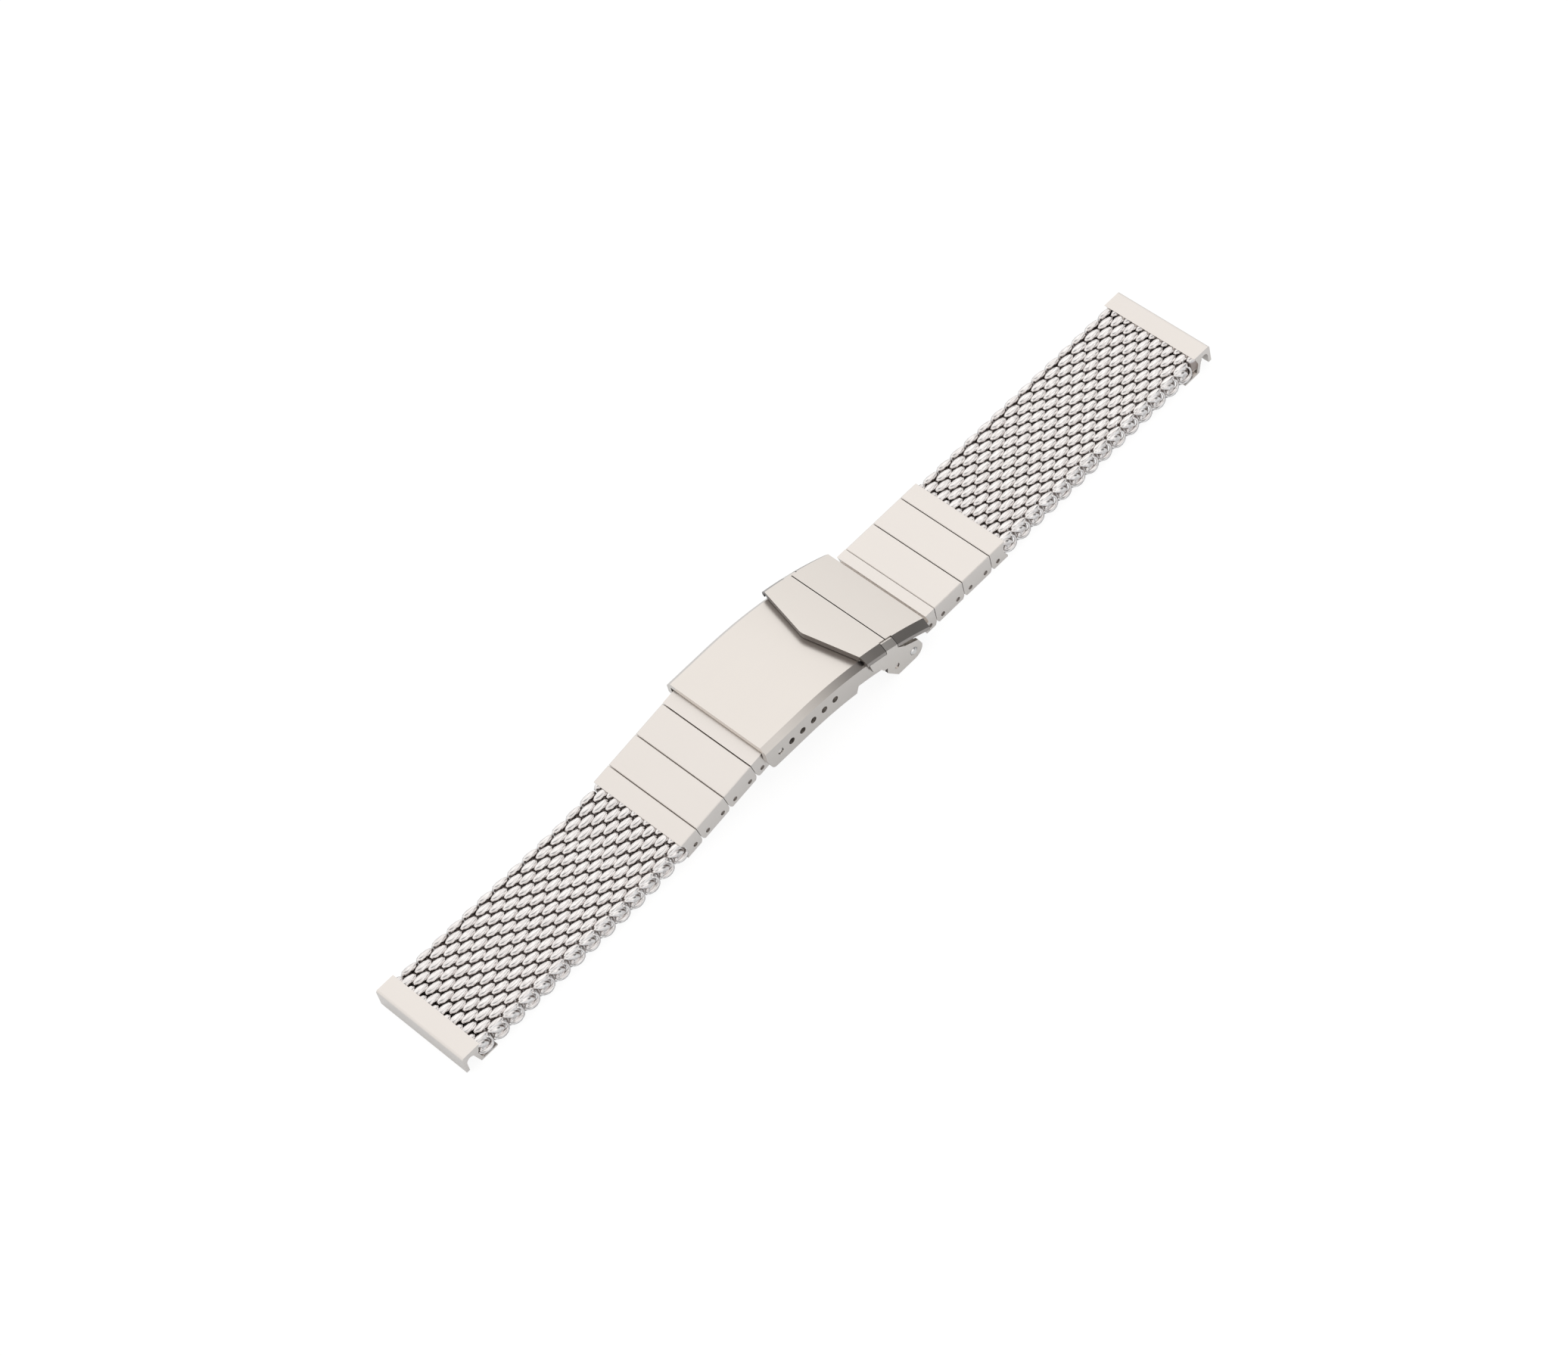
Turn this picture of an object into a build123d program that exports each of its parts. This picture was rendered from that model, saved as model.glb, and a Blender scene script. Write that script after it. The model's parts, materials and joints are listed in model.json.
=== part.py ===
from build123d import *
import math
import os

os.makedirs("parts", exist_ok=True)

# A heavy woven steel watch band, closed at its folding clasp and lying on its inner side.
# X runs along the band, Y across it and Z up from the table, with the origin under the middle of the band.

# Band
band_width = 20.0
link_height = 4.1
link_pitch = 6.6
mesh_link_length = 3.75
left_slope = 10.0

# Woven mesh: coils lie across the band, and the turns of neighbours stand between each other
mesh_height = 3.6
coil_pitch = 1.67
coil_length = 2.9
turns_across = 7
turn_play = 0.1
mesh_inset = 0.2
left_coils = 27
right_coils = 28
coils_per_group = 5
mesh_rise = 0.4

# End pieces that take the bars of a watch case
end_length = 3.8
end_height = 4.1
bar_channel_radius = 0.85
bar_channel_rise = 2.15
end_lip = 0.65
end_lip_rise = 0.4
end_leg = 0.7
end_jaw_length = 2.8
end_corner = 0.5

# Joints between links: an inner connector on two pins
joint_gap = 0.12
connector_pitch = 3.0
connector_radius = 0.85
connector_width = 8.0
connector_clearance = 0.1
pin_rise = 1.05
pin_radius = 0.4
pin_clearance = 0.03
pin_recess = 0.25
pin_sides = 10
link_edge = 0.12
jaw_clearance = 0.05
jaw_play = 0.15

# Spring bar that holds the left clasp link in the cover
bar_link_run = 5.2
bar_tube_radius = 0.75
bar_tube_wall = 0.2
bar_tube_inset = 0.5
bar_tip_radius = 0.5
bar_tip_length = 4.6
bar_tip_inset = 0.25
bar_spring_wall = 0.16
bar_spring_gap = 0.85
bar_clearance = 0.05
bar_tip_travel = 0.75

# Clasp places, along the band and up, measured from the hinge between the two blades
blade_hinge_height = 1.5
bar_run = -0.8
bar_height = 6.85
cover_hinge_run = 24.9
cover_hinge_height = 4.2
lock_hinge_run = 28.3
lock_hinge_height = 2.1
band_hinge_run = 31.6
band_hinge_height = 1.15
right_joint_run = 35.6

# Blades
blade_thickness = 0.9
blade_inset = 1.8
bottom_blade_arch = 2.3
middle_blade_arch = 4.05
knuckle_radius = 1.1
knuckle_gap = 0.15
knuckle_sides = 16
middle_knuckle_width = 7.8
tongue_width = 12.0
tongue_height = 2.3
tongue_root = 1.5
blade_relief = 0.4
hinge_pin_radius = 0.55
hinge_clearance = 0.04
cover_knuckle_play = 0.2

# Cover
cover_side_gap = 0.3
cover_height = 5.6
cover_hole_depth = 3.3
cover_wall = 1.0
cover_flange = 0.9
cover_left_run = -3.8
cover_bend_run = 5.4
cover_right_run = 29.3
cover_bend_radius = 62.0
cover_shoulder = 1.0
cover_heel_run = 0.8
cover_heel_height = 2.9
cover_heel_radius = 1.0
cover_window_start = 16.0
cover_window_end = 21.8
cover_window_rise = 1.4
cover_lobe_radius = 1.6
hole_radius = 0.6
hole_pitch = 2.5
hole_count = 6

# Lock that folds over the closed end of the cover
lock_gap = 0.1
lock_web = 0.4
lock_plate = 0.9
lock_shoulder = 1.2
lock_skirt = 1.9
lock_tip_run = 16.2
lock_corner_run = 18.9
lock_split_run = 24.3
lock_split_gap = 0.2
lock_tail_run = 32.5
lock_tab_width = 2.4
lock_tab_inset = 1.35
lock_tab_drop = 0.2
lock_web_inset = 0.9
lock_tip_radius = 2.5
ear_gap = 0.1
ear_thickness = 0.6
ear_length = 9.0
ear_height = 5.9
ear_radius = 2.0
ear_front_shares = [(-0.64, 0.04), (-0.665, 0.1), (-0.64, 0.28), (-0.73, 0.31), (-0.78, 0.45), (-0.96, 0.64)]
ear_foot_share = -0.44
ear_back_shares = [(-0.155, 0.5), (0.155, 0.27)]
ear_dent_share = (-0.43, 0.04)
ear_dent_radius = 0.55
ear_dent_depth = 0.15
lock_rivet_radius = 0.7
lock_rivet_proud = 0.2

overrun = 1.0

# Widths that follow from the band's width
turn_pitch = (band_width - 2 * mesh_inset) / turns_across
bar_tube_length = band_width - 2 * bar_tube_inset
blade_width = band_width - 2 * blade_inset
cover_width = band_width + 2 * (cover_side_gap + cover_flange)
cover_knuckle_width = cover_width - 2 * (cover_flange + cover_knuckle_play)
lock_width = cover_width + 2 * (ear_gap + ear_thickness)
bar_tip_reach = cover_width / 2 - bar_tip_inset


def side_plane(place, slope=0.0, facing=1):
    """Upright plane along the band: local x points along +X (facing 1) or -X (facing -1), rising at slope."""
    angle = math.radians(slope)
    x_dir = (facing * math.cos(angle), 0, math.sin(angle))
    return Plane(origin=(place[0], 0, place[1]), x_dir=x_dir, z_dir=(0, -facing, 0))


def reach(place, slope, facing, run, rise=0.0):
    """Point at a run along a side plane and a rise square to it."""
    angle = math.radians(slope)
    along = run * math.cos(angle) - rise * math.sin(angle)
    return (place[0] + facing * along, place[1] + run * math.sin(angle) + rise * math.cos(angle))


def save(part, name):
    """Labels a finished piece and writes it."""
    part.label = name
    export_step(part, "parts/" + name + ".step")


# Places of the left half, worked outwards from the spring bar in the cover's first hole
mesh_level = mesh_rise + mesh_height / 2
left_mesh_length = left_coils * coil_pitch
right_mesh_length = right_coils * coil_pitch
links_run = 2 * link_pitch + mesh_link_length


def left_joint_from(bar):
    """Foot of the joint line between the left clasp link and its neighbour."""
    return reach(bar, -left_slope, -1, bar_link_run, -link_height / 2)


def mesh_mouth_from(joint):
    """Middle of the mesh's inner end on the left, at the mouth of its link."""
    return reach(joint, -left_slope, -1, links_run, mesh_level)


left_trial = mesh_mouth_from(left_joint_from((bar_run, bar_height)))
ramp_length = coils_per_group * coil_pitch
ramp_slope = math.degrees(math.asin((left_trial[1] - mesh_level) / ramp_length))


def left_mesh_place(mouth, run):
    """Centre and slope of the left mesh at a run from its mouth; its first group comes down to the table."""
    slope = ramp_slope if run < ramp_length else 0.0
    across, height = reach(mouth, -ramp_slope, -1, min(run, ramp_length))
    return (across - max(run - ramp_length, 0), height), slope


left_extent = -left_mesh_place(left_trial, left_mesh_length)[0][0] + end_length
right_extent = right_joint_run + links_run + right_mesh_length + end_length
hinge_x = (left_extent - right_extent) / 2

blade_hinge = (hinge_x, blade_hinge_height)
bar_place = (hinge_x + bar_run, bar_height)
cover_hinge = (hinge_x + cover_hinge_run, cover_hinge_height)
lock_hinge = (hinge_x + lock_hinge_run, lock_hinge_height)
band_hinge = (hinge_x + band_hinge_run, band_hinge_height)
left_joint = left_joint_from(bar_place)
left_mouth = mesh_mouth_from(left_joint)
right_joint = (hinge_x + right_joint_run, 0)
right_mouth = (right_joint[0] + links_run, mesh_level)


def coil_places(side):
    """Centre and slope of every coil of one mesh, from the clasp outwards."""
    if side == "left":
        return [left_mesh_place(left_mouth, (k + 0.5) * coil_pitch) for k in range(left_coils)]
    return [((right_mouth[0] + (k + 0.5) * coil_pitch, right_mouth[1]), 0.0) for k in range(right_coils)]


def mesh_turns(width):
    """One flattened turn of a coil, seen from the side as a six-cornered plate."""
    half = coil_length / 2
    flat = coil_pitch / 2
    top = mesh_height / 2
    lower = [(-half, 0), (-flat, -top), (flat, -top)]
    with BuildPart() as turn:
        with BuildSketch(side_plane((0, 0))):
            Polygon(*lower, *[(-x, -z) for x, z in lower], align=None)
        extrude(amount=width / 2, both=True)
    return turn.part


# Wide turns fill the room between the narrow ones, and the narrow first and last coil of a group run free
narrow_turn = mesh_turns(turn_pitch / 2 - turn_play)
wide_turn = mesh_turns(turn_pitch / 2 + turn_play)


def mesh_group(name, coils, first):
    """A few neighbouring coils of the mesh, gripping each other turn by turn."""
    with BuildPart() as group:
        for index, (place, slope) in enumerate(coils):
            row_shift = ((first + index) % 2) * turn_pitch / 2
            start = row_shift - (turns_across - 0.5) * turn_pitch / 2
            rows = [(0, start + turn * turn_pitch, 0) for turn in range(turns_across)]
            with Locations(Location((place[0], 0, place[1]), (0, -slope, 0))):
                with Locations(*rows):
                    add(wide_turn if index % 2 else narrow_turn)
    save(group.part, name)


def build_mesh(side):
    """All groups of one mesh, numbered from the end piece inwards."""
    coils = coil_places(side)
    starts = list(range(0, len(coils), coils_per_group))
    for number, start in enumerate(reversed(starts), 1):
        mesh_group(side + "_mesh_" + str(number), coils[start:start + coils_per_group], start)


def heel(pin_run, turn):
    """Lower corner of a link, rounded about its pin; turn is -1 at a link's start and 1 at its end."""
    radius = connector_pitch / 2 - joint_gap / 2
    half_swing = math.asin(pin_rise / radius) / 2
    level = (pin_run + turn * radius, pin_rise)
    middle = (pin_run + turn * radius * math.cos(half_swing), pin_rise - radius * math.sin(half_swing))
    foot = (pin_run + turn * math.sqrt(radius ** 2 - pin_rise ** 2), 0)
    return level, middle, foot


def joint_pocket(plane, start, finish):
    """Room for a connector, open to the joint and to the inner side of the band."""
    ceiling = pin_rise + connector_radius + connector_clearance
    corners = [(start, -overrun), (finish, -overrun), (finish, ceiling), (start, ceiling)]
    with BuildSketch(plane) as room:
        Polygon(*corners, align=None)
    extrude(room.sketch, amount=connector_width / 2 + connector_clearance, both=True, mode=Mode.SUBTRACT)


def cross_hole(plane, places, radius, width=band_width):
    """Holes through a piece from side to side, with few flat sides so that repeats stay light."""
    with BuildSketch(plane) as round_holes:
        with Locations(*places):
            RegularPolygon(radius, pin_sides, major_radius=False)
    extrude(round_holes.sketch, amount=width, both=True, mode=Mode.SUBTRACT)


pin_run = connector_pitch / 2
pocket_run = pin_run + connector_radius + connector_clearance


def full_link(name, joint, slope, facing):
    """A link with a rounded heel and a connector pocket at both ends."""
    plane = side_plane(joint, slope, facing)
    far_pin = link_pitch - pin_run
    near = heel(pin_run, -1)
    far = heel(far_pin, 1)
    near_edge = joint_gap / 2
    far_edge = link_pitch - joint_gap / 2
    with BuildPart() as link:
        with BuildSketch(plane):
            with BuildLine():
                Polyline(near[0], (near_edge, link_height), (far_edge, link_height), far[0])
                ThreePointArc(*far)
                Line(far[2], near[2])
                ThreePointArc(near[2], near[1], near[0])
            make_face()
        extrude(amount=band_width / 2, both=True)
        chamfer(link.faces().sort_by(Axis((0, 0, 0), plane.y_dir))[-1].edges(), length=link_edge)
        joint_pocket(plane, -overrun, pocket_run)
        joint_pocket(plane, link_pitch - pocket_run, link_pitch + overrun)
        cross_hole(plane, [(pin_run, pin_rise), (far_pin, pin_rise)], pin_radius + pin_clearance)
    save(link.part, name)


def mesh_link(name, joint, slope, facing):
    """The half link whose jaw holds the inner end of a mesh."""
    plane = side_plane(joint, slope, facing)
    near = heel(pin_run, -1)
    near_edge = joint_gap / 2
    mouth = mesh_height / 2 + jaw_clearance
    lip = mesh_link_length - jaw_play
    depth = lip - (coil_length - coil_pitch) / 2
    groove = [(mesh_link_length + overrun, mesh_level + mouth), (lip, mesh_level + mouth)]
    groove += [(depth, mesh_level)]
    groove += [(lip, mesh_level - mouth), (mesh_link_length + overrun, mesh_level - mouth)]
    with BuildPart() as link:
        with BuildSketch(plane):
            with BuildLine():
                Polyline(near[0], (near_edge, link_height), (mesh_link_length, link_height))
                Polyline((mesh_link_length, link_height), (mesh_link_length, 0), near[2])
                ThreePointArc(near[2], near[1], near[0])
            make_face()
        extrude(amount=band_width / 2, both=True)
        chamfer(link.faces().sort_by(Axis((0, 0, 0), plane.y_dir))[-1].edges(), length=link_edge)
        with BuildSketch(plane):
            Polygon(*groove, align=None)
        extrude(amount=band_width, both=True, mode=Mode.SUBTRACT)
        joint_pocket(plane, -overrun, pocket_run)
        cross_hole(plane, [(pin_run, pin_rise)], pin_radius + pin_clearance)
    save(link.part, name)


def left_clasp_link(name):
    """The half link that the spring bar holds inside the cover."""
    plane = side_plane(left_joint, left_slope)
    near = heel(pin_run, -1)
    near_edge = joint_gap / 2
    middle = link_height / 2
    with BuildPart() as link:
        with BuildSketch(plane):
            with BuildLine():
                Polyline(near[0], (near_edge, link_height), (bar_link_run, link_height))
                ThreePointArc((bar_link_run, link_height), (bar_link_run + middle, middle), (bar_link_run, 0))
                Line((bar_link_run, 0), near[2])
                ThreePointArc(near[2], near[1], near[0])
            make_face()
        extrude(amount=band_width / 2, both=True)
        joint_pocket(plane, -overrun, pocket_run)
        cross_hole(plane, [(pin_run, pin_rise)], pin_radius + pin_clearance)
        cross_hole(plane, [(bar_link_run, middle)], bar_tube_radius + bar_clearance)
    save(link.part, name)


def right_clasp_link(name):
    """The half link whose tongue turns on the bottom blade, hollowed so that the lock's tail passes."""
    plane = side_plane(right_joint, 0, -1)
    near = heel(pin_run, -1)
    near_edge = joint_gap / 2
    nose = right_joint_run - band_hinge_run
    sweep = lock_sweep + 2 * lock_gap
    lock_run = right_joint_run - lock_hinge_run
    high = (lock_run - math.sqrt(sweep ** 2 - (link_height - lock_hinge_height) ** 2), link_height)
    half_rise = (link_height + tongue_height) / 2 - lock_hinge_height
    half_way = (lock_run - math.sqrt(sweep ** 2 - half_rise ** 2), lock_hinge_height + half_rise)
    low = (lock_run - math.sqrt(sweep ** 2 - (tongue_height - lock_hinge_height) ** 2), tongue_height)
    root = nose - tongue_root
    with BuildPart() as link:
        with BuildSketch(plane):
            with BuildLine():
                Polyline(near[0], (near_edge, link_height), high)
                ThreePointArc(high, half_way, low)
                Polyline(low, (root, tongue_height), (root, 0), near[2])
                ThreePointArc(near[2], near[1], near[0])
            make_face()
        extrude(amount=band_width / 2, both=True)
        with BuildSketch(plane):
            with BuildLine():
                Polyline((nose, tongue_height), (root, tongue_height), (root, 0), (nose, 0))
                ThreePointArc((nose, 0), (nose + band_hinge_height, band_hinge_height), (nose, tongue_height))
            make_face()
        extrude(amount=tongue_width / 2, both=True)
        joint_pocket(plane, -overrun, pocket_run)
        cross_hole(plane, [(pin_run, pin_rise)], pin_radius + pin_clearance)
        cross_hole(plane, [(nose, band_hinge_height)], hinge_pin_radius + hinge_clearance)
    save(link.part, name)


def connector(side, number, joint, slope, facing):
    """An inner connector with a pin through each of its round ends."""
    plane = side_plane(joint, slope, facing)
    places = [(-pin_run, pin_rise), (pin_run, pin_rise)]
    with BuildPart() as body:
        with BuildSketch(plane):
            with Locations(*places):
                RegularPolygon(connector_radius, pin_sides)
            make_hull()
        extrude(amount=connector_width / 2, both=True)
        cross_hole(plane, places, pin_radius)
    save(body.part, side + "_connector_" + str(number))
    with BuildPart() as pins:
        with BuildSketch(plane):
            with Locations(*places):
                RegularPolygon(pin_radius, pin_sides)
        extrude(amount=band_width / 2 - pin_recess, both=True)
    save(pins.part, side + "_connector_pins_" + str(number))


def end_piece(name, place, facing):
    """Hooked end whose open channel clips over the bar of a watch case, with jaws over and under the mesh."""
    plane = side_plane(place, 0, facing)
    channel_run = end_length - end_lip - bar_channel_radius
    mouth = mesh_height / 2 + jaw_clearance
    depth = (coil_length - coil_pitch) / 2 + jaw_play
    jaw = mesh_level - mouth
    low_left = channel_run - bar_channel_radius
    low_right = channel_run + bar_channel_radius
    with BuildPart() as piece:
        with BuildSketch(plane):
            block = [(end_length, 0), (end_length, end_height), (0, end_height), (0, jaw)]
            Polygon(*block, (-end_jaw_length, jaw), (-end_jaw_length, 0), align=None)
        extrude(amount=band_width / 2, both=True)
        top_edges = piece.edges().filter_by(Axis.Y).group_by(Axis.Z)[-1].sort_by(Axis.X)
        fillet(top_edges[-1 if facing > 0 else 0], radius=end_corner)
        with BuildSketch(plane):
            with Locations((channel_run, bar_channel_rise)):
                Circle(bar_channel_radius)
            mouth_top = [(low_left, bar_channel_rise), (low_right, bar_channel_rise)]
            Polygon(*mouth_top, (low_right, 0), (end_leg, 0), align=None)
            front = [(channel_run, -overrun), (end_length + overrun, -overrun)]
            Polygon(*front, (end_length + overrun, end_lip_rise), (channel_run, end_lip_rise), align=None)
        extrude(amount=band_width, both=True, mode=Mode.SUBTRACT)
        with BuildSketch(plane):
            groove = [(-overrun, mesh_level + mouth), (jaw_play, mesh_level + mouth), (depth, mesh_level)]
            Polygon(*groove, (jaw_play, mesh_level - mouth), (-overrun, mesh_level - mouth), align=None)
        extrude(amount=band_width, both=True, mode=Mode.SUBTRACT)
    save(piece.part, name)


def spring_bar():
    """Tube, spring and two sprung tips that join the left clasp link to the cover."""
    plane = side_plane(bar_place)
    bore = bar_tube_radius - bar_tube_wall
    with BuildPart() as tube:
        with BuildSketch(plane):
            RegularPolygon(bar_tube_radius, pin_sides)
            RegularPolygon(bore, pin_sides, major_radius=False, mode=Mode.SUBTRACT)
        extrude(amount=bar_tube_length / 2, both=True)
    save(tube.part, "spring_bar_tube")
    tip_start = bar_tip_reach - bar_tip_length
    for name, turn in [("spring_bar_tip_near", 1), ("spring_bar_tip_far", -1)]:
        with BuildPart() as tip:
            with BuildSketch(side_plane(bar_place, 0, turn).offset(tip_start)):
                RegularPolygon(bar_tip_radius, knuckle_sides)
            extrude(amount=bar_tip_length)
        save(tip.part, name)
    with BuildPart() as spring:
        with BuildSketch(plane):
            RegularPolygon(bar_tip_radius, pin_sides)
            inside = bar_tip_radius - bar_spring_wall
            RegularPolygon(inside, pin_sides, major_radius=False, mode=Mode.SUBTRACT)
        extrude(amount=tip_start - bar_spring_gap, both=True)
    save(spring.part, "spring_bar_spring")


# The cover's top is straight, then bends down about this centre
cover_top = bar_height + cover_hole_depth
cover_foot = cover_top - cover_height
bend_centre = (hinge_x + cover_bend_run, cover_top - cover_bend_radius)


def on_bend(run, height=0.0):
    """Point over the cover's bend at a run from the blade hinge and a height over the cover's top line."""
    radius = cover_bend_radius + height
    across = run - cover_bend_run
    return (bend_centre[0] + across, bend_centre[1] + math.sqrt(radius ** 2 - across ** 2))


def bend_arc(start_run, end_run, height):
    """Three points of an arc along the bend at one height."""
    return [on_bend(start_run, height), on_bend((start_run + end_run) / 2, height), on_bend(end_run, height)]


world_side = side_plane((0, 0))


def rims_at(piece, radius):
    """Long curved edges of a piece that lie at one radius of the cover's bend."""
    rims = piece.edges().filter_by(GeomType.CIRCLE)
    return [e for e in rims if abs(e.radius - radius) < joint_gap]


def cover():
    """Bent channel over the blades, with six holes for the spring bar and two lobes for the lock."""
    left = hinge_x + cover_left_run
    bend = hinge_x + cover_bend_run
    right_top = on_bend(cover_right_run)
    foot = on_bend(cover_window_start, -cover_height)
    window_left = on_bend(cover_window_start + cover_window_rise / 2, -cover_height + cover_window_rise)
    window_mid = on_bend((cover_window_start + cover_window_end) / 2, -cover_height + cover_window_rise)
    window_right = on_bend(cover_window_end, -cover_height + cover_window_rise)
    lobe_reach = cover_lobe_radius * math.cos(math.radians(45))
    lobe_left = (lock_hinge[0] - lobe_reach, lock_hinge[1] - lobe_reach)
    lobe_foot = (lock_hinge[0], lock_hinge[1] - cover_lobe_radius)
    lobe_right = (right_top[0], lock_hinge[1])
    reach_right = math.sqrt(max(cover_lobe_radius ** 2 - (right_top[0] - lock_hinge[0]) ** 2, 0))
    lobe_end = (right_top[0], lock_hinge[1] - reach_right)
    with BuildPart() as shell:
        with BuildSketch(world_side):
            with BuildLine():
                Line((left, cover_top), (bend, cover_top))
                ThreePointArc(*bend_arc(cover_bend_run, cover_right_run, 0))
                Line(right_top, lobe_end)
                ThreePointArc(lobe_end, lobe_foot, lobe_left)
                Line(lobe_left, window_right)
                ThreePointArc(window_right, window_mid, window_left)
                Line(window_left, foot)
                ThreePointArc(*bend_arc(cover_window_start, cover_bend_run, -cover_height))
                Polyline((bend, cover_foot), (left + cover_heel_run, cover_foot))
                Polyline((left + cover_heel_run, cover_foot), (left, cover_foot + cover_heel_height))
                Line((left, cover_foot + cover_heel_height), (left, cover_top))
            make_face()
        extrude(amount=cover_width / 2, both=True)
        flat_rims = shell.faces().sort_by(Axis.Z)[-1].edges().filter_by(Axis.X)
        chamfer(list(flat_rims) + rims_at(shell, cover_bend_radius), length=cover_shoulder)
        heels = shell.edges().filter_by(Axis.Y).filter_by_position(Axis.X, left, left + 2 * cover_heel_run)
        heels = heels.group_by(Axis.Z)[0]
        fillet(heels, radius=cover_heel_radius)
        with BuildSketch(world_side):
            with BuildLine():
                inner = cover_top - cover_wall
                inner_end = on_bend(cover_right_run + overrun, -cover_wall)
                Line((left - overrun, inner), (bend, inner))
                ThreePointArc(*bend_arc(cover_bend_run, cover_right_run + overrun, -cover_wall))
                Polyline(inner_end, (inner_end[0], -overrun), (left - overrun, -overrun))
                Line((left - overrun, -overrun), (left - overrun, inner))
            make_face()
        extrude(amount=cover_width / 2 - cover_flange, both=True, mode=Mode.SUBTRACT)
        holes = [(bar_place[0] + k * hole_pitch, bar_place[1]) for k in range(hole_count)]
        cross_hole(world_side, holes, hole_radius)
        cross_hole(world_side, [cover_hinge], hinge_pin_radius)
        cross_hole(world_side, [lock_hinge], lock_rivet_radius)
    save(shell.part, "cover")


def hinge_pin(name, place, width):
    """A plain hinge pin from side to side."""
    with BuildPart() as pin:
        with BuildSketch(side_plane(place)):
            RegularPolygon(hinge_pin_radius, knuckle_sides)
        extrude(amount=width / 2, both=True)
    save(pin.part, name)


def blade_strip(points):
    """Closed outline of a bent strip whose middle line passes three points."""
    half = blade_thickness / 2
    upper = [(x, z + half) for x, z in points]
    lower = [(x, z - half) for x, z in points]
    with BuildLine() as outline:
        ThreePointArc(*upper)
        Line(upper[2], lower[2])
        ThreePointArc(lower[2], lower[1], lower[0])
        Line(lower[0], upper[0])
    make_face(outline.edges())


def knuckles(place, spans, bore):
    """Hinge knuckles at one axis, one for each span across the band, with their bore."""
    for low, high in spans:
        with BuildSketch(side_plane(place).offset(low)) as eye:
            RegularPolygon(knuckle_radius, knuckle_sides)
        extrude(eye.sketch, amount=high - low)
    cross_hole(world_side, [place], bore)


def clear_box(low_run, high_run, low, high, height):
    """Cuts a strip away between two runs and two places across the band."""
    corners = [(hinge_x + low_run, -overrun), (hinge_x + high_run, -overrun)]
    corners += [(hinge_x + high_run, height), (hinge_x + low_run, height)]
    with BuildSketch(world_side.offset(low)) as strip:
        Polygon(*corners, align=None)
    extrude(strip.sketch, amount=high - low, mode=Mode.SUBTRACT)


def bottom_blade():
    """The lowest blade, arched over the wrist, hinged to the middle blade and to the right clasp link."""
    left_z = blade_hinge[1] - knuckle_radius + blade_thickness / 2
    right_z = band_hinge[1] - knuckle_radius + blade_thickness / 2
    crown = ((blade_hinge[0] + band_hinge[0]) / 2, bottom_blade_arch)
    inner = middle_knuckle_width / 2 + knuckle_gap
    tongue = tongue_width / 2 + knuckle_gap
    edge = blade_width / 2
    relief = knuckle_radius + blade_relief
    with BuildPart() as blade:
        with BuildSketch(world_side):
            blade_strip([(blade_hinge[0], left_z), crown, (band_hinge[0], right_z)])
        extrude(amount=edge, both=True)
        clear_box(-relief, relief, -inner, inner, cover_foot)
        clear_box(band_hinge_run - relief, band_hinge_run + relief, -tongue, tongue, cover_foot)
        knuckles(blade_hinge, [(-edge, -inner), (inner, edge)], hinge_pin_radius)
        knuckles(band_hinge, [(-edge, -tongue), (tongue, edge)], hinge_pin_radius)
    save(blade.part, "bottom_blade")


def middle_blade():
    """The blade between the cover and the bottom blade."""
    left_z = blade_hinge[1] + knuckle_radius - blade_thickness / 2
    crown = ((blade_hinge[0] + cover_hinge[0]) / 2, middle_blade_arch)
    inner = middle_knuckle_width / 2
    edge = blade_width / 2
    relief = knuckle_radius + blade_relief
    wide = cover_knuckle_width / 2
    with BuildPart() as blade:
        with BuildSketch(world_side):
            blade_strip([(blade_hinge[0], left_z), crown, cover_hinge])
        extrude(amount=edge, both=True)
        clear_box(-relief, relief, -edge - overrun, -inner, cover_foot)
        clear_box(-relief, relief, inner, edge + overrun, cover_foot)
        knuckles(blade_hinge, [(-inner, inner)], hinge_pin_radius + hinge_clearance)
        knuckles(cover_hinge, [(-wide, wide)], hinge_pin_radius + hinge_clearance)
    save(blade.part, "middle_blade")


# Heights of the lock's layers over the cover's top line
web_low = lock_gap
web_high = lock_gap + lock_web
plate_high = web_high + lock_plate
skirt_low = plate_high - lock_skirt
tail_corner = on_bend(lock_tail_run, plate_high)
lock_sweep = math.hypot(tail_corner[0] - lock_hinge[0], tail_corner[1] - lock_hinge[1])


def bend_band(start_run, end_run, low, high):
    """Closed outline between two heights over the bend."""
    upper = bend_arc(start_run, end_run, high)
    lower = bend_arc(start_run, end_run, low)
    with BuildLine() as outline:
        ThreePointArc(*upper)
        Line(upper[2], lower[2])
        ThreePointArc(lower[2], lower[1], lower[0])
        Line(lower[0], upper[0])
    make_face(outline.edges())


def cut_front(tip_run, corner_run, width):
    """Cuts the lock's leading edge to a shallow arrow in plan."""
    tip = hinge_x + tip_run
    corner = hinge_x + corner_run
    side = width / 2 + overrun
    outside = tip - ear_length
    slant = (corner - tip) / (width / 2)
    rim = corner + slant * overrun
    with BuildSketch(Plane.XY) as clear:
        Polygon(*[(outside, -side), (rim, -side), (tip, 0), (rim, side), (outside, side)], align=None)
        fillet(clear.vertices().sort_by_distance((tip, 0))[0], radius=lock_tip_radius)
    extrude(clear.sketch, amount=2 * cover_top, mode=Mode.SUBTRACT)


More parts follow.
